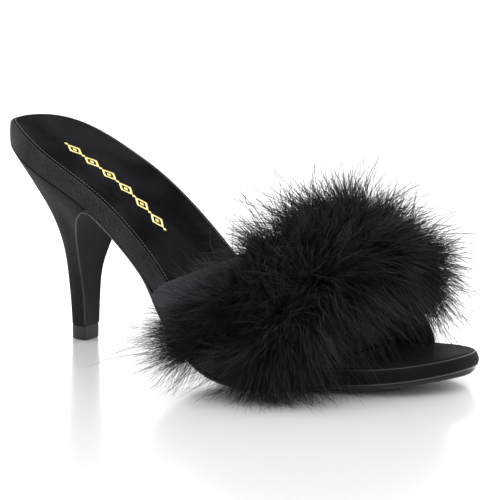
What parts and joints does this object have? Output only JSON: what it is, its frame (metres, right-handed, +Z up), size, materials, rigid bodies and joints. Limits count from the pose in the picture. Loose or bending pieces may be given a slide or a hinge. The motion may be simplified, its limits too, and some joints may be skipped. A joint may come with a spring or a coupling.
{
  "type": "stiletto heel shoe",
  "caption": "Open-toe, open-back satin mule for the right foot, on a slender covered high heel, with deep marabou down across the vamp.",
  "frame": {"origin": "on the floor, in the middle of the flat of the forefoot tread, in line with the middle of the top lift", "axes": "+X towards the toe, +Y towards the inner side of this right shoe (the left when facing the toe), +Z up"},
  "size_m": [0.2145, 0.147, 0.0896],
  "materials": {
    "outsole": "glossy black",
    "footbed": "black satin",
    "sock_lining": "black suede-like nap",
    "heel": "black satin",
    "top_lift": "satin black",
    "vamp": "black satin",
    "marabou_rear_row": "fluffy black down",
    "marabou_front_row": "fluffy black down"
  },
  "bodies": {
    "root": {"outsole": "outsole", "footbed": "footbed", "sock_lining": "sock_lining", "heel": "heel", "top_lift": "top_lift", "vamp": "vamp", "marabou_rear_row": "marabou_rear_row", "marabou_front_row": "marabou_front_row"}
  },
  "joints": []
}
